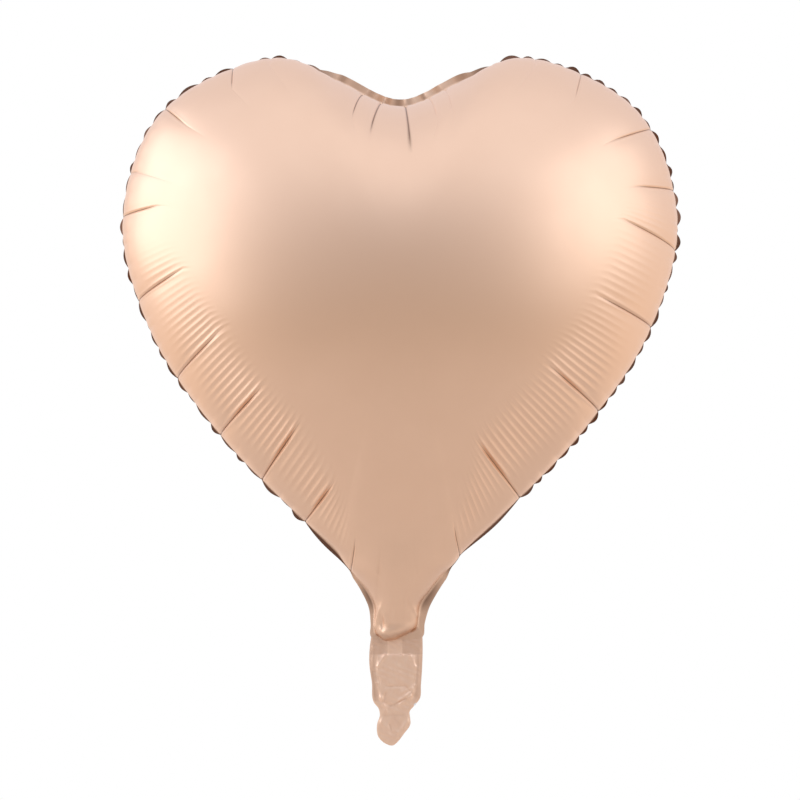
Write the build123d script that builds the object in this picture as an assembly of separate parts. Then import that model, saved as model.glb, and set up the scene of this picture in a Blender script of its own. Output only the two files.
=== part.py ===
from build123d import *
import math
import os

# Heart-shaped foil balloon, filled with gas, in millimetres. +Z is up and the front faces -Y.
# The origin is on the fold line where the inflated neck meets the flat filling tail, and the
# weld between the two foil panels lies in the plane y = 0.

# Driving sizes
FILM = 0.6  # panel wall
VALVE_FILM = 0.3  # one of the two films of the valve sleeve
COATING = 0.12  # printed release patch between the valve films
HALF_DEPTH = 95.0  # weld plane to the crown of one panel
CROWN_Z = 232.0  # height of the crown above the fold
CROWN_RADIUS = 165.0  # sideways radius that the level curves round off to at the crown
CROWN_RADIUS_SLOPE, CROWN_RADIUS_BEND = 11.0, 36.0  # how that radius shrinks up and down
SIDE_FLATNESS, NECK_FLATNESS = 0.52, 0.10  # 0.5 is an ellipse; more is flatter, like a cone
CONE_LENGTH = 190.0  # from the crown down to the round tip that the heart has above its neck
TIP_SHARPNESS = 24  # how suddenly the tip ends at that length
NECK_FADE = 10  # how soon the neck is lost above the weld
WELD_WIDTH = 5.0  # flat weld band round the heart

HALF_FOLD_GAP = 1.5  # from a fold line to the film on each side of it
TAIL_END = -47.0  # second fold, where the tail is pinched into the tie tab
NECK_SEAL = 1.5  # flat film between the fold and the filled neck
NECK_CORNER = 5.0  # rounding of the filled neck's lower corners
CORNER_IN, CORNER_UP = 2.0, 1.0  # place of the one point that the rounding passes through
NECK_PAD_TOP = 6.0  # top of the flat pad that carries the valve through the neck
NECK_PAD_HALF_WIDTH = 16.5

VALVE_LEFT, VALVE_RIGHT = -14.0, 10.0  # sides of the valve sleeve
VALVE_TOP = 78.0  # free end of the sleeve, inside the heart
VALVE_BOTTOM = -41.0  # mouth of the sleeve, in the tail
VALVE_COVER_MARGIN = 1.0  # tail film beside the sleeve, each side
COATING_MARGIN = 4.0  # bare sleeve beside the release patch, each side
COATING_BOTTOM, COATING_TOP = 2.5, 22.0

# Right half of the outer edge, from the notch over the lobe and down to the neck
HEART_EDGE = [
    (0.0, 340.5),
    (37.8, 356.5),
    (75.6, 369.2),
    (113.4, 359.7),
    (151.2, 335.2),
    (177.5, 264.0),
    (160.7, 195.3),
    (119.7, 132.3),
    (65.5, 75.6),
    (31.5, 40.3),
    (18.5, 17.0),
    (17.0, HALF_FOLD_GAP),
]
SEAM_POINTS = 26  # points on each half of a level curve of the dome
LEVELS = 8  # level curves from the weld to the crown
LAST_LEVEL_GAP = 0.35  # share of a step that the last level curve stops short of the crown

# Outline of the flat tail and of the tie tab below the pinch
TAIL_BOTTOM = TAIL_END + HALF_FOLD_GAP
TAB_TOP = TAIL_END - HALF_FOLD_GAP
TAIL_LEFT_EDGE = [(-18.0, -HALF_FOLD_GAP), (-18.5, -32.0), (-17.0, -38.0), (-11.0, TAIL_BOTTOM)]
TAIL_RIGHT_EDGE = [(7.5, TAIL_BOTTOM), (10.0, -41.5), (13.5, -36.0), (14.5, -HALF_FOLD_GAP)]
TAB_LEFT_EDGE = [(-11.0, TAB_TOP), (-14.0, -54.0), (-13.0, -60.0), (-5.7, -66.5)]
TAB_RIGHT_EDGE = [(1.0, -60.0), (6.5, -51.0), (7.0, TAB_TOP)]


FRONT, BACK = -1, 1  # sides of the weld plane


def on_weld_plane(x, z):
    """A point of the weld plane y = 0."""
    return Vector(x, 0, z)


def heart_curve():
    """The right half of the outer edge as one smooth curve."""
    points = [on_weld_plane(x, z) for x, z in HEART_EDGE]
    return Edge.make_spline(points, tangents=[Vector(1, 0, 0), Vector(0, 0, -1)])


EDGE = heart_curve()


def body_outline(inset):
    """Points round the filled body where it meets the weld band, from the notch to the right."""
    bottom = HALF_FOLD_GAP + NECK_SEAL + inset - WELD_WIDTH
    right = []
    for i in range(SEAM_POINTS + 1):
        share = i / SEAM_POINTS
        tangent = EDGE % share
        inward = Vector(tangent.Z, 0, -tangent.X)
        point = (EDGE @ share) + inward * inset
        if point.Z > bottom + NECK_CORNER:
            right.append(point)
    side = right[-1].X
    right.append(on_weld_plane(side - CORNER_IN, bottom + CORNER_UP))
    right.append(on_weld_plane(side / 2, bottom))
    left = [on_weld_plane(-p.X, p.Z) for p in right[:0:-1]]
    return right + left


def level_curve(height_share, inset, y):
    """A closed level curve of the dome in the plane at y.

    It starts as the outline with its neck, soon loses the neck, and rounds off towards the
    crown. Towards the neck the film is flatter, like a cone; elsewhere it turns down steeply."""
    points = []
    for p in body_outline(inset):
        dx, dz = p.X, p.Z - CROWN_Z
        distance = math.hypot(dx, dz)
        upwards = dz / distance
        flatness = SIDE_FLATNESS + NECK_FLATNESS * max(0.0, -upwards) ** 3
        reach = math.sqrt(1 - height_share ** (1 / flatness))
        neckless = distance
        if upwards < 0:
            beyond = (distance / CONE_LENGTH) ** TIP_SHARPNESS
            neckless = distance / (1 + beyond) ** (1 / TIP_SHARPNESS)
        crown_radius = CROWN_RADIUS - CROWN_RADIUS_SLOPE * upwards
        crown_radius -= CROWN_RADIUS_BEND * upwards**2
        radius = neckless + (distance - neckless) * reach**NECK_FADE
        radius += (crown_radius - neckless) * (1 - reach**2)
        scale = reach * radius / distance
        points.append(Vector(dx * scale, y, CROWN_Z + dz * scale))
    return Face(Wire(Edge.make_spline(points, periodic=True)))


def dome(inset, half_depth):
    """The solid under the front panel, from the weld plane forwards to the crown."""
    sections = []
    for i in range(LEVELS):
        share = math.sin(0.5 * math.pi * i / (LEVELS - LAST_LEVEL_GAP))
        sections.append(level_curve(share, inset, -half_depth * share))
    return Solid.make_loft([face.outer_wire() for face in sections])


def plate(face, y0, y1):
    """A flat sheet from a face in the weld plane, between two y values."""
    return extrude(face, amount=y1 - y0, dir=(0, 1, 0)).moved(Location((0, y0, 0)))


def box(x0, x1, y0, y1, z0, z1):
    """A block given by its lowest and highest corners."""
    block = Box(x1 - x0, y1 - y0, z1 - z0)
    return block.moved(Location(((x0 + x1) / 2, (y0 + y1) / 2, (z0 + z1) / 2)))


def outline_face(points):
    """A flat face in the weld plane with straight sides."""
    return Face(Wire.make_polygon([on_weld_plane(x, z) for x, z in points], close=True))


def heart_face():
    """The whole heart in the weld plane, out to the edge of the weld band."""
    mirrored = EDGE.mirror(Plane.YZ)
    foot = Edge.make_line(EDGE @ 1, mirrored @ 1)
    return Face(Wire([EDGE, foot, mirrored]))


def layer(side, thickness, start=0.0):
    """Lower and upper y of a layer that lies on one side of the weld plane."""
    near, far = side * start, side * (start + thickness)
    return min(near, far), max(near, far)


def heart_panel():
    """The front foil panel: its dome, its half of the weld band and of the neck."""
    outer = dome(WELD_WIDTH, HALF_DEPTH)
    inner = dome(WELD_WIDTH + FILM, HALF_DEPTH - FILM)
    band = plate(heart_face(), *layer(FRONT, FILM))
    pad_depth = layer(FRONT, FILM + VALVE_FILM)
    pad_left, pad_right = -NECK_PAD_HALF_WIDTH, NECK_PAD_HALF_WIDTH
    neck_pad = box(pad_left, pad_right, *pad_depth, HALF_FOLD_GAP, NECK_PAD_TOP)
    valve_slot = valve_film(FRONT, 0, NECK_PAD_TOP + WELD_WIDTH)
    return (Part() + outer + band + neck_pad) - inner - valve_slot


def tail_panel(side):
    """One foil panel of the flat filling tail, with the pocket that holds the valve film."""
    body = plate(outline_face(TAIL_LEFT_EDGE + TAIL_RIGHT_EDGE), *layer(side, FILM))
    left, right = VALVE_LEFT - VALVE_COVER_MARGIN, VALVE_RIGHT + VALVE_COVER_MARGIN
    cover_depth = layer(side, FILM + VALVE_FILM)
    valve_cover = box(left, right, *cover_depth, VALVE_BOTTOM, -HALF_FOLD_GAP)
    return body + valve_cover - valve_film(side, VALVE_BOTTOM, 0)


def valve_film(side, z0, z1):
    """One film of the valve sleeve, between two heights."""
    return box(VALVE_LEFT, VALVE_RIGHT, *layer(side, VALVE_FILM), z0, z1)


def release_coating():
    """The printed patch that keeps the sleeve from being welded shut in the neck."""
    left, right = VALVE_LEFT + COATING_MARGIN, VALVE_RIGHT - COATING_MARGIN
    return box(left, right, *layer(BACK, COATING), COATING_BOTTOM, COATING_TOP)


def save(shape, node):
    """Write one sub-part; each node is a single solid."""
    solids = shape.solids() if hasattr(shape, "solids") else [shape]
    assert len(solids) == 1, (node, len(solids))
    export_step(solids[0], f"parts/{node}.step")
    print(node, round(solids[0].volume), "mm3")


os.makedirs("parts", exist_ok=True)

# The inflated heart
front_panel = heart_panel()
save(front_panel, "front_panel")
save(mirror(front_panel, about=Plane.XZ), "back_panel")
coating = release_coating()
save(valve_film(FRONT, HALF_FOLD_GAP, VALVE_TOP), "valve_front_film")
save(valve_film(BACK, HALF_FOLD_GAP, VALVE_TOP) - coating, "valve_back_film")
save(coating, "valve_release_coating")

# The flat filling tail below the first fold
save(tail_panel(FRONT), "tail_front")
save(tail_panel(BACK), "tail_back")
save(valve_film(FRONT, VALVE_BOTTOM, -HALF_FOLD_GAP), "valve_front_inlet")
save(valve_film(BACK, VALVE_BOTTOM, -HALF_FOLD_GAP), "valve_back_inlet")

# The tie tab below the second fold
tab_face = outline_face(TAB_LEFT_EDGE + TAB_RIGHT_EDGE)
save(plate(tab_face, *layer(FRONT, FILM)), "tab_front")
save(plate(tab_face, *layer(BACK, FILM)), "tab_back")
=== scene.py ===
import bpy
import math
import numpy as np
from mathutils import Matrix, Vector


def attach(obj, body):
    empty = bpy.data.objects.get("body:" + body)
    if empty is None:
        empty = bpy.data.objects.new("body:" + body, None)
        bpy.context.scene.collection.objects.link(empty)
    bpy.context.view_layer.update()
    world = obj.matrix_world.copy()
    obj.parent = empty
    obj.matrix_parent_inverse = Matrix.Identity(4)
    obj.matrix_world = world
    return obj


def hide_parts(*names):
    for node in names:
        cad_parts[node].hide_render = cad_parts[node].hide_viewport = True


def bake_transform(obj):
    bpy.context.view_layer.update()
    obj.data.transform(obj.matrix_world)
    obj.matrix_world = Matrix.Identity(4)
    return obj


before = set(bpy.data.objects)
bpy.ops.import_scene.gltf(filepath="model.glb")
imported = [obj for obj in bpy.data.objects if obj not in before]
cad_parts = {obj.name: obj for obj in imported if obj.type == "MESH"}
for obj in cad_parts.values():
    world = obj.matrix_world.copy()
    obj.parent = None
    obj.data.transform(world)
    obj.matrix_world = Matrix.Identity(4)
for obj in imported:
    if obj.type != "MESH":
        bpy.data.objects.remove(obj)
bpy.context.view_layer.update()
MM = 0.001

# The camera stands level in front of the heart, far off, behind a long lens.
# It looks along +Y at a point halfway up the heart and its tail.
LENS_MM, SENSOR_MM = 105.0, 36.0
VIEW_WIDTH = 504 * MM
VIEW_HEIGHT = 151.2 * MM
camera_data = bpy.data.cameras.new("camera")
camera_data.lens = LENS_MM
camera_data.sensor_width = SENSOR_MM
camera = bpy.data.objects.new("camera", camera_data)
camera.location = (0, -VIEW_WIDTH * LENS_MM / SENSOR_MM, VIEW_HEIGHT)
camera.rotation_euler = (math.radians(90), 0, 0)
bpy.context.scene.collection.objects.link(camera)
bpy.context.scene.camera = camera


# Valve: a flat sleeve of two clear films, sealed down both sides. It runs from the tail through the
# neck into the heart, and the gas inside presses it shut. A printed coating keeps the sleeve open
# where the foils are welded across it.
def sleeve_material(name, tint, clouded_tint, roughness):
    """Clear film: a little cloudy, with fine lines where it was drawn off the roll."""
    material = bpy.data.materials.new(name)
    material.use_nodes = True
    nodes, links = material.node_tree.nodes, material.node_tree.links
    shader = nodes["Principled BSDF"]
    shader.inputs["IOR"].default_value = 1.5
    place = nodes.new("ShaderNodeTexCoord")
    drawn = nodes.new("ShaderNodeMapping")
    drawn.inputs["Scale"].default_value = (1, 1, 0.06)
    lines = nodes.new("ShaderNodeTexNoise")
    lines.inputs["Scale"].default_value = 900
    cloud = nodes.new("ShaderNodeTexNoise")
    cloud.inputs["Scale"].default_value = 120
    tints = nodes.new("ShaderNodeMix")
    tints.data_type = "RGBA"
    tints.inputs[6].default_value = (*tint, 1)
    tints.inputs[7].default_value = (*clouded_tint, 1)
    gloss = nodes.new("ShaderNodeMapRange")
    gloss.inputs["To Min"].default_value = roughness - 0.06
    gloss.inputs["To Max"].default_value = roughness + 0.06
    bump = nodes.new("ShaderNodeBump")
    bump.inputs["Strength"].default_value = 0.3
    bump.inputs["Distance"].default_value = 0.02 * MM
    links.new(place.outputs["Object"], drawn.inputs["Vector"])
    links.new(drawn.outputs["Vector"], lines.inputs["Vector"])
    links.new(place.outputs["Object"], cloud.inputs["Vector"])
    links.new(cloud.outputs["Fac"], tints.inputs["Factor"])
    links.new(tints.outputs[2], shader.inputs["Base Color"])
    links.new(cloud.outputs["Fac"], gloss.inputs["Value"])
    links.new(gloss.outputs[0], shader.inputs["Roughness"])
    links.new(lines.outputs["Fac"], bump.inputs["Height"])
    links.new(bump.outputs["Normal"], shader.inputs["Normal"])
    return material


sleeve_film = sleeve_material("valve sleeve film", (0.86, 0.85, 0.81), (0.78, 0.77, 0.73), 0.28)
release_print = sleeve_material("release print", (0.90, 0.89, 0.88), (0.82, 0.81, 0.80), 0.75)
for node, finish in (
    ("valve_front_film", sleeve_film),
    ("valve_back_film", sleeve_film),
    ("valve_front_inlet", sleeve_film),
    ("valve_back_inlet", sleeve_film),
    ("valve_release_coating", release_print),
):
    cad_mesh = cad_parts[node].data
    cad_mesh.materials.clear()
    cad_mesh.materials.append(finish)


# Front and back foils: each is one heart of satin metallised film. They are welded together all
# round by a flat band, and the gas pulls them into domes whose edge gathers into creases that
# start at the weld. The gas also fills the neck down to a rounded lip in front of the tail.
def satin_film_group():
    """Node group: the film's colour, darkened by painted shade in its creases and weld band, its
    roughness and its fine grain.
    """
    group = bpy.data.node_groups.new("satin film", "ShaderNodeTree")
    for name, kind, value in (
        ("Tint", "NodeSocketColor", (0.9, 0.6, 0.4, 1)),
        ("Deep Tint", "NodeSocketColor", (0.8, 0.5, 0.3, 1)),
        ("Painted Shade Tint", "NodeSocketColor", (0.2, 0.1, 0.06, 1)),
        ("Painted Shade", "NodeSocketFloat", 0.0),
        ("Roughness", "NodeSocketFloat", 0.36),
        ("Haze Size", "NodeSocketFloat", 60.0),
    ):
        socket = group.interface.new_socket(name, in_out="INPUT", socket_type=kind)
        socket.default_value = value
    for name, kind in (
        ("Color", "NodeSocketColor"),
        ("Roughness", "NodeSocketFloat"),
        ("Height", "NodeSocketFloat"),
    ):
        group.interface.new_socket(name, in_out="OUTPUT", socket_type=kind)
    nodes, links = group.nodes, group.links
    inputs, outputs = nodes.new("NodeGroupInput"), nodes.new("NodeGroupOutput")
    place = nodes.new("ShaderNodeTexCoord")
    haze = nodes.new("ShaderNodeTexNoise")
    haze.inputs["Detail"].default_value = 3
    links.new(place.outputs["Object"], haze.inputs["Vector"])
    links.new(inputs.outputs["Haze Size"], haze.inputs["Scale"])
    tint = nodes.new("ShaderNodeMix")
    tint.data_type = "RGBA"
    links.new(haze.outputs["Fac"], tint.inputs["Factor"])
    links.new(inputs.outputs["Tint"], tint.inputs[6])
    links.new(inputs.outputs["Deep Tint"], tint.inputs[7])
    # Painted shade: the colour is mixed towards a dark tint by a per-point shade value. It stands in
    # for shade in creases, on the weld band and under the neck's lip.
    painted_shade_mix = nodes.new("ShaderNodeMix")
    painted_shade_mix.data_type = "RGBA"
    links.new(inputs.outputs["Painted Shade"], painted_shade_mix.inputs["Factor"])
    links.new(tint.outputs[2], painted_shade_mix.inputs[6])
    links.new(inputs.outputs["Painted Shade Tint"], painted_shade_mix.inputs[7])
    links.new(painted_shade_mix.outputs[2], outputs.inputs["Color"])
    spread = nodes.new("ShaderNodeMapRange")
    spread.inputs["To Min"].default_value = -0.03
    spread.inputs["To Max"].default_value = 0.03
    links.new(haze.outputs["Fac"], spread.inputs["Value"])
    rough = nodes.new("ShaderNodeMath")
    links.new(spread.outputs[0], rough.inputs[0])
    links.new(inputs.outputs["Roughness"], rough.inputs[1])
    links.new(rough.outputs[0], outputs.inputs["Roughness"])
    grain = nodes.new("ShaderNodeTexNoise")
    grain.inputs["Scale"].default_value = 900
    grain.inputs["Detail"].default_value = 2
    links.new(place.outputs["Object"], grain.inputs["Vector"])
    links.new(grain.outputs["Fac"], outputs.inputs["Height"])
    return group


SATIN_FILM = satin_film_group()


def film_material(name, tint, deep_tint, painted_shade_tint, roughness, haze_size, grain_strength):
    """Metallised film with its own tint, gloss and grain."""
    material = bpy.data.materials.new(name)
    material.use_nodes = True
    nodes, links = material.node_tree.nodes, material.node_tree.links
    shader = nodes["Principled BSDF"]
    shader.inputs["Metallic"].default_value = 1.0
    film = nodes.new("ShaderNodeGroup")
    film.node_tree = SATIN_FILM
    film.inputs["Tint"].default_value = (*tint, 1)
    film.inputs["Deep Tint"].default_value = (*deep_tint, 1)
    film.inputs["Painted Shade Tint"].default_value = (*painted_shade_tint, 1)
    film.inputs["Roughness"].default_value = roughness
    film.inputs["Haze Size"].default_value = haze_size
    # Reads the painted shade stored on each point of the foil meshes.
    painted_shade = nodes.new("ShaderNodeAttribute")
    painted_shade.attribute_name = "painted_shade"
    bump = nodes.new("ShaderNodeBump")
    bump.inputs["Strength"].default_value = grain_strength
    bump.inputs["Distance"].default_value = 0.02 * MM
    links.new(painted_shade.outputs["Fac"], film.inputs["Painted Shade"])
    links.new(film.outputs["Color"], shader.inputs["Base Color"])
    links.new(film.outputs["Roughness"], shader.inputs["Roughness"])
    links.new(film.outputs["Height"], bump.inputs["Height"])
    links.new(bump.outputs["Normal"], shader.inputs["Normal"])
    return material


heart_film = film_material(
    "heart film", (0.90, 0.615, 0.43), (0.87, 0.59, 0.41), (0.12, 0.048, 0.028), 0.42, 40.0, 0.2
)

HALF_DEPTH = 95 * MM
CROWN = np.array([0, 232]) * MM
CROWN_RADIUS = 165 * MM
# The heart without its neck would end in a cone, this long below the crown
CONE_LENGTH, CONE_BLEND = 190 * MM, 8 * MM
HEART_EDGE = [
    (0.0, 340.5),
    (37.8, 356.5),
    (75.6, 369.2),
    (113.4, 359.7),
    (151.2, 335.2),
    (177.5, 264.0),
    (160.7, 195.3),
    (119.7, 132.3),
    (65.5, 75.6),
    (42.0, 53.5),
]
# The cut edge round the neck, and beside it the line where the filled neck leaves the flat weld
NECK_EDGE = [
    (30.6, 40.5),
    (23.0, 29.0),
    (18.5, 20.5),
    (15.6, 10.5),
    (14.3, 2.2),
    (8.0, 0.5),
    (-2.0, 0.5),
    (-12.0, 0.5),
    (-18.2, 2.0),
    (-18.5, 10.0),
    (-19.6, 20.0),
    (-24.0, 30.0),
    (-30.6, 40.4),
]
NECK_WELD = [
    (28.3, 43.2),
    (18.8, 31.5),
    (12.6, 22.5),
    (11.2, 14.0),
    (10.4, 8.8),
    (5.0, 5.2),
    (-2.5, 2.6),
    (-10.0, 2.0),
    (-15.2, 4.2),
    (-16.1, 11.0),
    (-16.2, 22.0),
    (-20.8, 31.6),
    (-29.0, 41.6),
]


def smooth_line(points, closed):
    """A dense smooth line through the points, each stretch a cubic that follows its neighbours."""
    points = np.array(points, float)
    if closed:
        points = np.vstack([points[-1:], points, points[:2]])
    else:
        points = np.vstack([2 * points[:1] - points[1:2], points, 2 * points[-1:] - points[-2:-1]])
    step = np.linalg.norm(np.diff(points, axis=0), axis=1)[:, None]
    slope = np.diff(points, axis=0) / step
    tangent = (slope[1:] * step[:-1] + slope[:-1] * step[1:]) / (step[1:] + step[:-1])
    line = []
    t = np.linspace(0, 1, 60, endpoint=False)[:, None]
    for i in range(len(points) - 3):
        a, b, h = points[i + 1], points[i + 2], step[i + 1]
        line.append(
            a * (2 * t**3 - 3 * t**2 + 1)
            + b * (3 * t**2 - 2 * t**3)
            + tangent[i] * h * (t**3 - 2 * t**2 + t)
            + tangent[i + 1] * h * (t**3 - t**2)
        )
    return np.vstack(line)


def smoothstep(low, high, x):
    """0 below low, 1 above high, smooth between."""
    t = np.clip((x - low) / (high - low), 0, 1)
    return t * t * (3 - 2 * t)


left_edge = [(-x, z) for x, z in HEART_EDGE[:0:-1]]
outer_line = smooth_line(HEART_EDGE + NECK_EDGE + left_edge, True) * MM
neck_line = smooth_line(HEART_EDGE + NECK_WELD + left_edge, True) * MM
outer_length = np.r_[0, np.cumsum(np.linalg.norm(np.diff(outer_line, axis=0), axis=1))]
ROUND = outer_length[-1] + np.linalg.norm(outer_line[0] - outer_line[-1])


def along(line, s):
    """Points of a closed line at the lengths s from the notch, clockwise as seen from the front."""
    lengths = np.r_[outer_length, ROUND]
    closed = np.vstack([line, line[:1]])
    s = np.mod(s, ROUND)
    return np.stack([np.interp(s, lengths, closed[:, k]) for k in (0, 1)], axis=-1)


def notch_share(p):
    """1 in the notch between the two lobes, 0 elsewhere."""
    return (1 - smoothstep(35 * MM, 60 * MM, np.abs(p[..., 0]))) * (p[..., 1] > 300 * MM)


BAND_WIDTH, NOTCH_BAND_WIDTH = 3.2 * MM, 5.4 * MM
facing = np.roll(outer_line, -1, axis=0) - np.roll(outer_line, 1, axis=0)
facing = facing / np.linalg.norm(facing, axis=1, keepdims=True)
inwards = np.stack([facing[:, 1], -facing[:, 0]], axis=1)
band_width = BAND_WIDTH + (NOTCH_BAND_WIDTH - BAND_WIDTH) * notch_share(outer_line)
weld_line = outer_line + inwards * band_width[:, None]
in_neck = 1 - smoothstep(42 * MM, 54 * MM, outer_line[:, 1:])
weld_line = weld_line + (neck_line - weld_line) * in_neck

NECK_DEPTH = 12 * MM
LIP_RISE, LIP_HANG = 4.2 * MM, 3.5 * MM
below = weld_line[weld_line[:, 1] < 140 * MM]
right_side = below[: np.argmin(below[:, 1]) + 1][::-1]
left_side = below[np.argmin(below[:, 1]) :]


def neck_shape(x, z):
    """Depth of the filled neck at (x, z), and how far its film hangs down there over the lip."""
    right = np.interp(z, right_side[:, 1], right_side[:, 0])
    left = np.interp(z, left_side[:, 1], left_side[:, 0])
    across = np.clip((2 * x - right - left) / np.maximum(right - left, 0.2 * MM), -1, 1)
    floor = np.interp(x / MM, (-15.2, -10.0, -2.5, 5.0, 10.4), (4.2, 2.0, 2.6, 5.2, 8.8)) * MM
    above_lip = np.clip((z - floor) / LIP_RISE, 0, 1)
    profile = 1 - (1 - above_lip) ** 1.6
    roundness = np.sqrt(1 - across**2)
    middle = NECK_DEPTH * profile + 0.55 * np.maximum(0, z - 12 * MM)
    return middle * roundness, LIP_HANG * roundness * np.sin(math.pi * profile)


def dome(s, reach):
    """Points (x, y, z) of the smooth front dome, above the weld at s, a share reach outwards."""
    out = along(weld_line, s) - CROWN
    distance = np.linalg.norm(out, axis=-1)
    upwards = out[..., 1] / distance
    flatness = 0.52 + 0.10 * np.maximum(0, -upwards) ** 3
    mix = np.clip(0.5 + (CONE_LENGTH - distance) / (2 * CONE_BLEND), 0, 1)
    tip = CONE_LENGTH + (distance - CONE_LENGTH) * mix - CONE_BLEND * mix * (1 - mix)
    neckless = np.where(upwards < 0, tip, distance)
    crown_radius = CROWN_RADIUS - (11 * upwards + 36 * upwards**2) * MM
    radius = neckless + (distance - neckless) * smoothstep(0.8, 1.0, reach)
    radius = radius + (crown_radius - neckless) * (1 - reach**2)
    flat = CROWN + out * (reach * radius / distance)[..., None]
    # Share of the way to the edge that a heart without a neck would have at this distance
    share = reach * radius / neckless
    for _ in range(5):
        excess = crown_radius * share - (crown_radius - neckless) * share**3 - reach * radius
        share = share - excess / (crown_radius - 3 * (crown_radius - neckless) * share**2)
    depth = HALF_DEPTH * np.maximum(0, 1 - share**2) ** flatness
    x, z = flat[..., 0], flat[..., 1]
    filled, hang = neck_shape(x, z)
    depth = depth + (filled - depth) * (1 - smoothstep(44 * MM, 85 * MM, z))
    return np.stack([x, -depth, z - hang], axis=-1)


# Each main crease, from the weld inwards, as (x, z) of both ends and its depth, in mm
CREASES = [
    (-24.7, 338.6, -38.1, 320.2, 0.9),
    (-11.7, 336.0, -21.4, 311.5, 0.9),
    (3.2, 335.3, 6.8, 302.0, 1.0),
    (20.2, 334.5, 28.4, 314.4, 0.5),
    (31.0, 339.5, 42.0, 319.0, 0.5),
    (84.7, 365.0, 84.3, 359.0, 0.5),
    (114.0, 357.0, 108.0, 337.7, 0.7),
    (158.0, 321.2, 131.0, 310.3, 1.0),
    (174.4, 282.9, 149.0, 282.0, 0.9),
    (173.4, 244.7, 141.9, 259.6, 1.0),
    (156.7, 197.2, 120.3, 214.2, 1.3),
    (122.9, 145.7, 88.2, 173.3, 1.3),
    (74.7, 90.7, 46.4, 125.7, 1.3),
    (37.7, 53.4, 25.2, 69.3, 1.0),
    (-30.6, 44.2, -21.0, 61.6, 1.0),
    (-60.2, 74.5, -41.0, 98.3, 1.1),
    (-86.9, 101.2, -61.9, 135.3, 1.3),
    (-114.2, 128.5, -85.0, 157.1, 1.3),
    (-140.0, 164.7, -110.6, 191.2, 1.3),
    (-165.3, 212.9, -136.4, 229.0, 1.3),
    (-174.1, 265.9, -150.0, 270.0, 1.0),
    (-171.7, 294.2, -165.7, 293.0, 0.6),
    (-145.2, 331.7, -129.5, 318.4, 1.0),
    (-104.6, 359.4, -104.0, 344.0, 0.9),
    (-81.3, 365.0, -80.5, 358.0, 0.4),
]
RIB_PITCH, RIB_HEIGHT = 4.7 * MM, 0.80 * MM
PANEL_ROWS, EDGE_ROWS, EDGE_TURN = 46, 20, 0.36
FOIL_GAP, NECK_GAP = 0.28 * MM, 0.25 * MM  # weld plane to foil: all round, and more in the neck
# Small folds at the sides of the neck: both ends in (x, z), height and half width, in mm
NECK_FOLDS = [
    (-12.2, 21.5, -15.0, 9.0, 1.5, 1.1),
    (-11.4, 21.0, -7.6, 11.5, 1.1, 1.2),
    (-11.4, 14.5, -11.0, 7.5, -1.1, 0.7),
    (7.5, 22.0, 10.5, 16.0, 0.6, 0.9),
    (5.0, 24.5, 9.0, 17.5, -0.5, 0.7),
    (-2.0, 30.0, -5.0, 19.0, -0.25, 1.2),
]


def crease_places():
    """For each crease: where it starts along the weld, its length, lean and depth."""
    samples = np.linspace(0, ROUND, 6000, endpoint=False)
    line = along(weld_line, samples)
    out = line - CROWN
    bearing = np.arctan2(out[:, 0], out[:, 1])
    places = []
    for x0, z0, x1, z1, depth in CREASES:
        start, end = np.array([x0, z0]) * MM, np.array([x1, z1]) * MM
        far = np.linalg.norm(line - start, axis=1)
        first = np.argmin(far)
        ray = end - CROWN
        turned = np.abs((bearing - math.atan2(ray[0], ray[1]) + math.pi) % (2 * math.pi) - math.pi)
        last = np.argmin(turned + 4 * (far > 120 * MM))
        inward = np.linalg.norm(line[last] - end)
        share = 1 - inward / np.linalg.norm(out[last])
        lean = round_gap(samples[last], samples[first]) * share / inward if z0 > 60 else 0.0
        places.append((samples[first], np.linalg.norm(end - start), lean, depth * MM))
    return np.array(sorted(places))


def round_gap(a, b):
    """Signed shortest way round from b to a."""
    return (a - b + ROUND / 2) % ROUND - ROUND / 2


def crimp_edges(places):
    """The pinches of the weld: at every crease, and at uneven steps between creases."""
    rng = np.random.default_rng(7)
    pinches = []
    starts = places[:, 0]
    for a, b in zip(starts, np.r_[starts[1:], starts[0] + ROUND]):
        middle = along(outer_line, (a + b) / 2)
        pitch = (10.5 if middle[0] > 0 else 12.0) * MM
        if notch_share(middle) > 0.5:
            pitch = 5.0 * MM
        parts = 1 if middle[1] < 72 * MM else max(1, round((b - a) / pitch))
        inner = np.linspace(a, b, parts + 1)[:-1]
        inner[1:] += rng.uniform(-0.3, 0.3, parts - 1) * pitch
        pinches.extend(inner)
    return np.sort(np.mod(pinches, ROUND))


def between(edges, s):
    """Share of the way from one edge to the next, the stretch's number and its length."""
    number = np.searchsorted(edges, np.mod(s, ROUND), side="right") - 1
    low = np.where(number < 0, edges[-1] - ROUND, edges[number])
    high = np.append(edges, edges[0] + ROUND)[number + 1]
    return (np.mod(s, ROUND) - low) / (high - low), number % len(edges), high - low


def evened(s):
    """Lengths near s with evenly spread rays from the crown: in the neck, and all the way round."""
    samples = np.linspace(-ROUND, 2 * ROUND, 18000)
    line = along(weld_line, samples)
    out = line - CROWN
    bearing = np.unwrap(np.arctan2(out[:, 0], out[:, 1]))
    turn = np.interp(s, samples, bearing)
    neck = samples[(line[:, 1] < 40 * MM) & (samples > 0) & (samples < ROUND)]
    ends = np.array([neck[0], neck[-1]])
    neck_turn = np.interp(s, ends, np.interp(ends, samples, bearing))
    in_neck = (s > ends[0]) & (s < ends[1])
    neck_even = np.interp(np.where(in_neck, neck_turn, turn), bearing, samples)
    weight = np.hanning(241)
    turns = np.r_[turn - 2 * math.pi, turn, turn + 2 * math.pi]
    even = np.convolve(turns, weight / weight.sum(), "same")[len(s) : 2 * len(s)]
    return neck_even, np.interp(even, bearing, samples)


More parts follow.
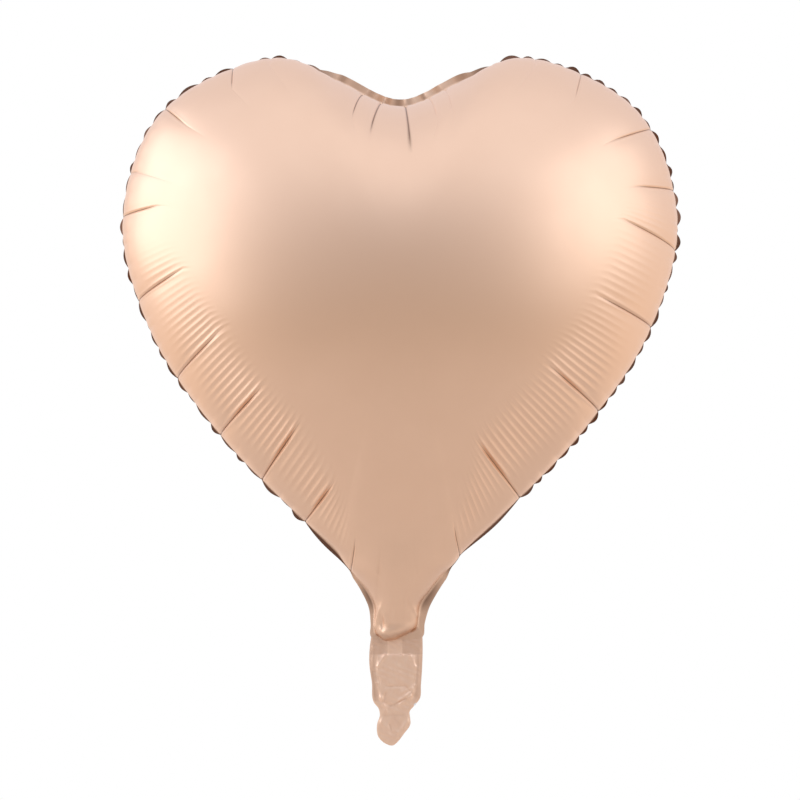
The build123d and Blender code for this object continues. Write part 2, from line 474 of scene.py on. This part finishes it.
def column_places(places):
    """Where the columns of the mesh start: close together at creases and on ribbed flanks."""
    samples = np.linspace(0, ROUND, 12000, endpoint=False)
    height = along(outer_line, samples)[:, 1]
    density = np.where(height < 285 * MM, 1.25, 0.6)
    for start in places[:, 0]:
        gap = round_gap(samples, start) / MM
        density = density + 2.6 * np.exp(-((gap / 1.6) ** 2)) + 0.5 * np.exp(-((gap / 5) ** 2))
    total = np.cumsum(density)
    count = int(total[-1] * (samples[1] - samples[0]) / MM)
    columns = np.interp(np.arange(count) / count * total[-1], total, samples)
    for start in places[:, 0]:
        columns[np.argmin(np.abs(round_gap(columns, start)))] = start
    return np.sort(np.mod(columns, ROUND))


def off_line(x, z, x0, z0, x1, z1):
    """Distance of the points (x, z) from the line between two points."""
    run = np.array([x1 - x0, z1 - z0])
    share = np.clip(((x - x0) * run[0] + (z - z0) * run[1]) / (run @ run), 0, 1)
    return np.hypot(x - x0 - share * run[0], z - z0 - share * run[1])


def foil_object(name, vertices, faces, painted_shade, film):
    """A mesh of film with its painted shade (creases, weld band, lip underside) kept as a point
    attribute.
    """
    mesh = bpy.data.meshes.new(name)
    mesh.from_pydata(vertices.tolist(), [], faces)
    mesh.materials.append(film)
    mesh.attributes.new("painted_shade", "FLOAT", "POINT").data.foreach_set("value", painted_shade.astype(np.float32))
    mesh.polygons.foreach_set("use_smooth", np.ones(len(faces), bool))
    mesh.update()
    foil = bpy.data.objects.new(name, mesh)
    bpy.context.scene.collection.objects.link(foil)
    return foil


def heart_foil(name, side, places, pinches):
    """One panel as a sheet: side -1 is the front, +1 the back, which lies behind it in y."""
    s = column_places(places)[:, None]
    crown_rows = np.linspace(EDGE_TURN, math.pi / 2, PANEL_ROWS - EDGE_ROWS + 2)[1:-1]
    turn = np.r_[np.linspace(0, EDGE_TURN, EDGE_ROWS), crown_rows]
    reach = np.cos(turn)[None, :] * np.ones_like(s)
    plain = dome(s + 0 * reach, reach)
    weld = plain[:, :1, :]
    inward = np.linalg.norm((plain - weld)[..., [0, 2]], axis=2)
    span = np.linalg.norm(weld[..., [0, 2]] - CROWN, axis=2)
    knots = np.r_[places[:, 0] - ROUND, places[:, 0], places[:, 0] + ROUND]
    lean, crease_length = (np.interp(s, knots, np.tile(places[:, k], 3)) for k in (2, 1))
    limited = np.minimum(inward, 1.1 * crease_length)
    leaning = lean * limited / (1 - limited / span)
    leaning = leaning * (1 - smoothstep(45 * MM, 110 * MM, inward))
    neck_even, even = (lengths[:, None] for lengths in evened(s[:, 0]))
    near_crown, off_weld = 1 - smoothstep(0.45, 0.8, reach), 1 - smoothstep(0.93, 1.0, reach)
    spread = (even - s) * near_crown + (neck_even - s) * off_weld * (1 - near_crown)
    base = dome(s + spread + leaning, reach)

    down = np.gradient(base, axis=1)
    round_way = np.roll(base, -1, axis=0) - np.roll(base, 1, axis=0)
    normal = np.cross(down, round_way)
    normal /= np.linalg.norm(normal, axis=2, keepdims=True) + 1e-12
    normal[:, 0, 1] = 0
    normal[:, 0, :] /= np.linalg.norm(normal[:, 0, :], axis=1, keepdims=True) + 1e-9

    rim = along(outer_line, s[:, 0])
    lobe = smoothstep(44 * MM, 70 * MM, rim[:, 1])[:, None]
    height = np.zeros_like(inward)
    painted_shade = np.zeros_like(inward)
    for start, length, _, depth in places:
        t = np.abs(round_gap(s, start)) * np.maximum(reach, 0.3)
        fade = 1 - smoothstep(0.7 * length, 1.12 * length, inward)
        groove = 0.50 * np.exp(-t / (2.6 * MM)) + 0.30 * np.exp(-t / (0.4 * MM))
        lip = 0.22 * np.exp(-(((t - 1.4 * MM) / (0.6 * MM)) ** 2))
        height += depth * fade * (lip - groove)
        # Painted shade: a thin dark line in the core of each deeper crease, where the folded film
        # would shade itself.
        dark = 0.8 * smoothstep(0.45, 0.9, depth / MM) * np.exp(-((t / (0.27 * MM)) ** 2))
        painted_shade = np.maximum(painted_shade, fade * dark)
    bay, _, bay_length = between(places[:, 0], s)
    crimp, number, crimp_length = between(pinches, s)
    swell = smoothstep(0, 6 * MM, inward) * (1 - smoothstep(8 * MM, 40 * MM, inward))
    height += 1.1 * MM * lobe * swell * np.abs(np.sin(math.pi * bay)) ** 0.6
    gather = smoothstep(0, 1.5 * MM, inward) * (1 - smoothstep(2 * MM, 10 * MM, inward))
    height += 0.5 * MM * lobe * gather * np.abs(np.sin(math.pi * crimp)) ** 0.7

    # Ribs: fine parallel folds between two creases, strongest above each crease
    right_half = rim[:, :1] > 0
    upper_limit = np.where(right_half, 285 * MM, 245 * MM)
    flank = lobe * (1 - smoothstep(upper_limit - 30 * MM, upper_limit, rim[:, 1:]))
    beside_notch = (rim[:, :1] > 12 * MM) & (rim[:, :1] < 48 * MM) & (rim[:, 1:] > 300 * MM)
    flank = np.maximum(flank, 0.5 * beside_notch)
    ribbed = smoothstep(0.2 * crease_length, 0.6 * crease_length, inward)
    ribbed = ribbed * (1 - smoothstep(0.92 * crease_length, 1.15 * crease_length, inward))
    from_crease = np.where(right_half, 1 - bay, bay)
    strength = 0.45 + 0.55 * (1 - from_crease) ** 1.3
    strength = strength * (1.5 - 1.25 * smoothstep(110 * MM, 205 * MM, rim[:, 1:]))
    count = np.round(bay_length / RIB_PITCH)
    wave = (0.5 + 0.5 * np.cos(2 * math.pi * count * (bay + 0.5 / count))) ** 2
    height += RIB_HEIGHT * flank * ribbed * strength * (wave - 0.35)
    for x0, z0, x1, z1, fold_height, half_width in NECK_FOLDS:
        far = off_line(base[..., 0] / MM, base[..., 2] / MM, x0, z0, x1, z1)
        height += fold_height * MM * np.exp(-((far / half_width) ** 2)) * (1 - lobe)
    over_lip = base[..., 2] / MM - 6.6 - 0.155 * base[..., 0] / MM
    # Painted shade: the underside of the neck's lip is darkened, standing in for the dimmer light it
    # catches while facing down.
    painted_shade = np.maximum(painted_shade, 0.26 * (1 - lobe) * (1 - smoothstep(-0.9, 0.5, over_lip)))
    height -= 0.35 * MM * (1 - lobe) * np.exp(-(((over_lip + 1.6) / 1.3) ** 2))
    points = base + normal * height[..., None]
    points[..., 1] *= -side

    # The welded band outside: pinched into crescents by the creases, open in the notch and neck
    rng = np.random.default_rng(5)
    pinch_places = along(outer_line, pinches + 5 * MM)
    least = np.where(pinch_places[:, 0] > 0, 0.40, 0.12)
    most = np.where(pinch_places[:, 0] > 0, 0.98, 0.80)
    proud = least + (most - least) * rng.uniform(0.0, 1.0, len(pinches))
    proud = np.where(pinch_places[:, 1] < 72 * MM, 0.95, proud)[number]
    sway = rng.uniform(-1.0, 1.0, len(pinches))[number]
    paleness = rng.uniform(0.0, 1.0, len(pinches))[number]
    open_band = np.maximum(notch_share(rim), 1 - smoothstep(38 * MM, 46 * MM, rim[:, 1]))[:, None]
    proud = proud * smoothstep(0, 12 * MM, crimp_length)
    crescent = np.abs(np.sin(math.pi * crimp)) ** 0.9 * proud
    share_out = open_band + (1 - open_band) * crescent
    foot = 1 - smoothstep(1 * MM, 4 * MM, rim[:, 1])[:, None]
    in_tail = 1 - smoothstep(26 * MM, 40 * MM, rim[:, 1])[:, None]
    reach_out = along(outer_line, s) - weld[..., [0, 2]]
    in_notch = notch_share(rim)[:, None]
    wing = smoothstep(14 * MM, 24 * MM, rim[:, 1:])
    rows, painted_shading = [], []
    for share in (1.0, 0.66, 0.33):
        place = weld[:, :, [0, 2]] + reach_out * (share_out * share)[..., None]
        gap = (FOIL_GAP + NECK_GAP * in_tail) * (1 - share * (1 - foot))
        bend = sway * share * 1.1 * MM * np.sin(math.pi * crimp) * (1 - in_tail)
        rows.append(np.stack([place[..., 0], bend + side * gap, place[..., 1]], axis=-1))
        # Painted reflection: the crimped weld band is darkened as though it mirrored dark
        # surroundings. Painted shade: in the notch this darkening varies at random from crimp to
        # crimp, and in the neck's flat wings it deepens towards the filled neck.
        dark = 0.92 * (1 - open_band)
        dark = dark + in_notch * (0.04 + 0.42 * paleness * np.sin(math.pi * crimp))
        painted_shading.append(dark + in_tail * (0.08 + (0.26 + 0.52 * (1 - share)) * wing))
    points[..., 1] += side * (FOIL_GAP + NECK_GAP * in_tail * smoothstep(0.6, 1.0, reach))
    grid = np.concatenate(rows + [points], axis=1)
    painted_shading = np.concatenate(painted_shading + [painted_shade], axis=1)

    columns, count = grid.shape[:2]
    crown = [[CROWN[0], side * (HALF_DEPTH + FOIL_GAP), CROWN[1]]]
    vertices = np.vstack([grid.reshape(-1, 3), crown])
    faces = []
    for i in range(columns):
        a, b = i * count, (i + 1) % columns * count
        faces.extend((a + j, a + j + 1, b + j + 1, b + j) for j in range(count - 1))
        faces.append((a + count - 1, len(vertices) - 1, b + count - 1))
    if side > 0:
        faces = [face[::-1] for face in faces]
    return foil_object(name, vertices, faces, np.r_[painted_shading.ravel(), 0.0], heart_film)


front_places = crease_places()
pinches = crimp_edges(front_places)
back_places = front_places.copy()
back_rng = np.random.default_rng(3)
back_places[:, 1] *= back_rng.uniform(0.7, 1.25, len(back_places))
back_places[:, 3] *= back_rng.uniform(0.7, 1.2, len(back_places))
for name, side, node, places in (
    ("front_foil", -1, "front_panel", front_places),
    ("back_foil", 1, "back_panel", back_places),
):
    foil = heart_foil(name, side, places, pinches)
    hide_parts(node)
    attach(foil, "heart")


# Tail: the two foils run on below the neck as a flat strip, sealed down its sides over the end of
# the valve sleeve, whose welded outline shows through. Handling has crumpled it.
# Painted light: the tail's foil is the heart's foil with a lighter tint, standing in for the extra
# side light that its flat, crumpled film catches.
tail_film = film_material(
    "tail film", (0.98, 0.71, 0.52), (0.92, 0.63, 0.45), (0.36, 0.18, 0.10), 0.50, 160.0, 0.35
)
# Left and right edges from the neck down to the tip of the tab, as (x, z) in mm
LEFT_EDGE = [
    (-17.6, 5.0),
    (-18.4, 0.5),
    (-19.3, -15.0),
    (-17.7, -27.0),
    (-16.6, -39.0),
    (-13.2, -43.8),
    (-12.7, -47.5),
    (-14.3, -52.5),
    (-14.6, -56.5),
    (-13.6, -61.0),
    (-9.6, -65.0),
    (-6.2, -66.5),
]
RIGHT_EDGE = [
    (14.0, 5.0),
    (14.2, 0.5),
    (13.9, -18.0),
    (13.2, -28.0),
    (12.4, -37.0),
    (8.6, -41.8),
    (6.0, -45.3),
    (6.3, -48.5),
    (6.6, -52.5),
    (2.4, -59.2),
    (-3.6, -66.0),
    (-4.4, -66.5),
]
# Outline of the sleeve's weld, and the crumples, each from (x, z) to (x, z), height, half width
SLEEVE_WELD = [
    (-9.5, -9.5, -14.2, -16.5, 0.40, 0.8),
    (-14.2, -16.5, -14.2, -27.0, 0.40, 0.8),
    (-14.2, -27.0, -12.0, -35.0, 0.38, 0.8),
    (6.3, -9.5, 9.6, -16.4, 0.40, 0.8),
    (9.6, -16.4, 9.6, -28.4, 0.40, 0.8),
    (9.6, -28.4, 7.0, -34.8, 0.38, 0.8),
    (7.0, -34.8, 0.0, -40.3, 0.55, 0.7),
    (-9.5, -9.5, 6.3, -9.5, 0.30, 0.6),
]
CRUMPLES = [
    (-8.0, -29.2, 3.4, -29.0, -0.35, 0.8),
    (-8.2, -3.0, -8.2, -9.4, 0.30, 0.6),
    (1.6, -3.0, 1.6, -9.4, 0.30, 0.6),
    (-4.0, -40.6, 6.5, -33.0, 0.60, 0.9),
    (-6.0, -41.5, 4.0, -37.0, -0.55, 0.8),
    (-17.5, -20.0, -15.5, -38.0, -0.45, 0.7),
    (-12.0, -36.0, -9.0, -44.0, 0.50, 0.9),
    (-9.0, -33.5, -10.5, -39.0, -0.45, 0.7),
    (4.5, -30.0, 9.0, -35.0, -0.40, 0.7),
    (2.0, -32.5, 7.5, -30.0, 0.30, 0.8),
    (-2.0, -12.0, -1.0, -26.0, 0.14, 1.4),
    (-9.0, -13.0, -7.5, -27.0, 0.12, 1.3),
    (5.0, -14.0, 4.5, -26.0, -0.12, 1.3),
    (12.2, -6.0, 11.5, -30.0, 0.25, 0.8),
    (-17.0, -4.0, -17.0, -16.0, 0.22, 0.9),
    (-6.5, -53.5, -5.5, -56.5, -0.45, 0.6),
    (-12.5, -50.0, -5.0, -62.0, 0.30, 1.5),
    (5.5, -50.5, -2.0, -59.0, 0.28, 1.3),
    (-9.0, -47.5, 2.0, -47.2, -0.25, 1.0),
    (-4.0, -49.0, 0.5, -54.0, -0.22, 1.2),
]


def strip_foil(name, side, top, bottom, rows):
    """A strip of foil between two heights: a grid drawn into shape and crumpled like thin film."""
    bpy.ops.object.select_all(action="DESELECT")
    bpy.ops.mesh.primitive_grid_add(x_subdivisions=72, y_subdivisions=rows, size=2)
    foil = bpy.context.object
    foil.name = name
    co = np.array([v.co for v in foil.data.vertices])
    z = bottom + (top - bottom) * (co[:, 1] + 1) / 2
    left, right = (smooth_line(edge, False)[::-1] for edge in (LEFT_EDGE, RIGHT_EDGE))
    x_left = np.interp(z, left[:, 1], left[:, 0])
    x_right = np.interp(z, right[:, 1], right[:, 0])
    x = x_left + (x_right - x_left) * (co[:, 0] + 1) / 2
    from_side = np.minimum(x - x_left, x_right - x)
    raised = smoothstep(0.0, 2.4, from_side)
    relief = 0.53 * raised
    inside = smoothstep(0.0, 1.6, from_side - 4.2) * smoothstep(8.5, 11.0, -z)
    relief += 0.55 * inside * (1 - smoothstep(36.0, 41.0, -z))
    painted_shading = np.zeros_like(relief)
    for x0, z0, x1, z1, height, half_width in SLEEVE_WELD + CRUMPLES:
        far = off_line(x, z, x0, z0, x1, z1)
        mark = np.exp(-np.abs(far / half_width) ** 1.5)
        relief += height * mark * raised
        # Painted shade: the grooves of the sunken crumples are darkened.
        painted_shading += 0.35 * max(0.0, -height) * mark
    wander = np.sin(0.9 * x + 0.5 * z + 2 * np.sin(0.31 * z)) * np.sin(0.23 * x - 0.7 * z)
    relief += 0.16 * wander * raised
    behind_neck = smoothstep(0.0, 0.6, z)
    relief = relief + (0.42 - relief) * behind_neck
    relief = np.maximum(relief, 0.36) * smoothstep(0.0, 1.2, from_side)
    # Darker in a strip along both side edges, beside the sleeve.
    beside_sleeve = smoothstep(7.0, 11.0, -z) * (1 - smoothstep(34.0, 40.0, -z))
    painted_shading += 0.20 * (1 - smoothstep(3.0, 4.0, from_side)) * beside_sleeve
    # Painted shade: a dark band just under the neck's lip, left lighter across the middle.
    pale_patch = smoothstep(0.0, 0.8, x + 8.4) * smoothstep(0.0, 0.8, 1.8 - x)
    painted_shading += 0.22 * (1 - pale_patch) * (1 - smoothstep(8.4, 9.6, -z))
    placed = np.stack([x, side * relief, z], axis=1) * MM
    foil.data.vertices.foreach_set("co", placed.ravel())
    if side > 0:
        foil.data.flip_normals()
    shade = np.clip(painted_shading, 0, 1).astype(np.float32)
    foil.data.attributes.new("painted_shade", "FLOAT", "POINT").data.foreach_set("value", shade)
    foil.data.materials.append(tail_film)
    bpy.ops.object.shade_smooth()
    foil.data.update()
    return foil


for side, which in ((-1, "front"), (1, "back")):
    foil = strip_foil(f"{which}_tail_foil", side, 3.5, -47.0, 128)
    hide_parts(f"tail_{which}")
    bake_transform(foil)


# Tie tab: the strip's end, pinched narrow where a ribbon is tied, and trimmed to a rough point.
for side, which in ((-1, "front"), (1, "back")):
    foil = strip_foil(f"{which}_tab_foil", side, -47.0, -66.45, 52)
    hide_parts(f"tab_{which}")
    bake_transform(foil)


# Studio: a pale floor well below, soft light from both sides, and white all round.
FLOOR_Z = -0.30
bpy.ops.object.select_all(action="DESELECT")
bpy.ops.mesh.primitive_circle_add(vertices=96, radius=0.85, fill_type="NGON", location=(0, 0, FLOOR_Z))
floor = bpy.context.object
floor.name = "floor"
floor_material = bpy.data.materials.new("pale floor")
floor_material.use_nodes = True
floor_shader = floor_material.node_tree.nodes["Principled BSDF"]
floor_shader.inputs["Base Color"].default_value = (0.69, 0.622, 0.55, 1)
floor_shader.inputs["Roughness"].default_value = 0.8
floor.data.materials.append(floor_material)

world = bpy.data.worlds.new("studio")
bpy.context.scene.world = world
world.use_nodes = True
sky, links = world.node_tree.nodes, world.node_tree.links
room = sky["Background"]
heading = sky.new("ShaderNodeTexCoord")
height = sky.new("ShaderNodeSeparateXYZ")
links.new(heading.outputs["Generated"], height.inputs[0])
warmth = sky.new("ShaderNodeMapRange")
warmth.inputs["From Min"].default_value = -0.5
warmth.inputs["From Max"].default_value = 0.5
links.new(height.outputs["Z"], warmth.inputs["Value"])
walls = sky.new("ShaderNodeMix")
walls.data_type = "RGBA"
walls.inputs[6].default_value = (1.05, 0.93, 0.84, 1)
walls.inputs[7].default_value = (0.95, 0.995, 1.15, 1)
links.new(warmth.outputs[0], walls.inputs["Factor"])
links.new(walls.outputs[2], room.inputs["Color"])
forwards = sky.new("ShaderNodeVectorMath")
forwards.operation = "DOT_PRODUCT"
forwards.inputs[1].default_value = (0, -1, -0.5)
links.new(heading.outputs["Generated"], forwards.inputs[0])
fall = sky.new("ShaderNodeMapRange")
fall.interpolation_type = "SMOOTHSTEP"
fall.inputs["From Min"].default_value = 0.15
fall.inputs["From Max"].default_value = 1.0
fall.inputs["To Min"].default_value = 0.95
fall.inputs["To Max"].default_value = 0.54
links.new(forwards.outputs["Value"], fall.inputs["Value"])
links.new(fall.outputs[0], room.inputs["Strength"])
backdrop = sky.new("ShaderNodeBackground")
backdrop.inputs["Color"].default_value = (1, 1, 1, 1)
sight = sky.new("ShaderNodeLightPath")
choose = sky.new("ShaderNodeMixShader")
links.new(sight.outputs["Is Camera Ray"], choose.inputs["Fac"])
links.new(room.outputs[0], choose.inputs[1])
links.new(backdrop.outputs[0], choose.inputs[2])
links.new(choose.outputs[0], sky["World Output"].inputs["Surface"])


def softbox(name, place, size, glow, colour):
    """A large soft light at place, turned towards the heart; glow is how bright its face is."""
    data = bpy.data.lights.new(name, "AREA")
    data.shape = "RECTANGLE"
    data.size, data.size_y = size
    data.energy = glow * math.pi * size[0] * size[1]
    data.color = colour
    light = bpy.data.objects.new(name, data)
    light.location = place
    direction = Vector((0, 0, 0.2)) - Vector(place)
    light.rotation_euler = direction.to_track_quat("-Z", "Y").to_euler()
    bpy.context.scene.collection.objects.link(light)


softbox("left softbox", (-1.55, -0.25, 0.65), (1.7, 1.5), 1.15, (0.80, 0.90, 1.06))
softbox("right softbox", (1.40, -0.75, 0.75), (1.1, 1.3), 0.95, (0.85, 0.94, 1.06))
softbox("top softbox", (0.0, -0.8, 1.55), (1.9, 1.4), 0.18, (0.9, 0.96, 1.0))
bpy.context.scene.view_settings.view_transform = "Standard"
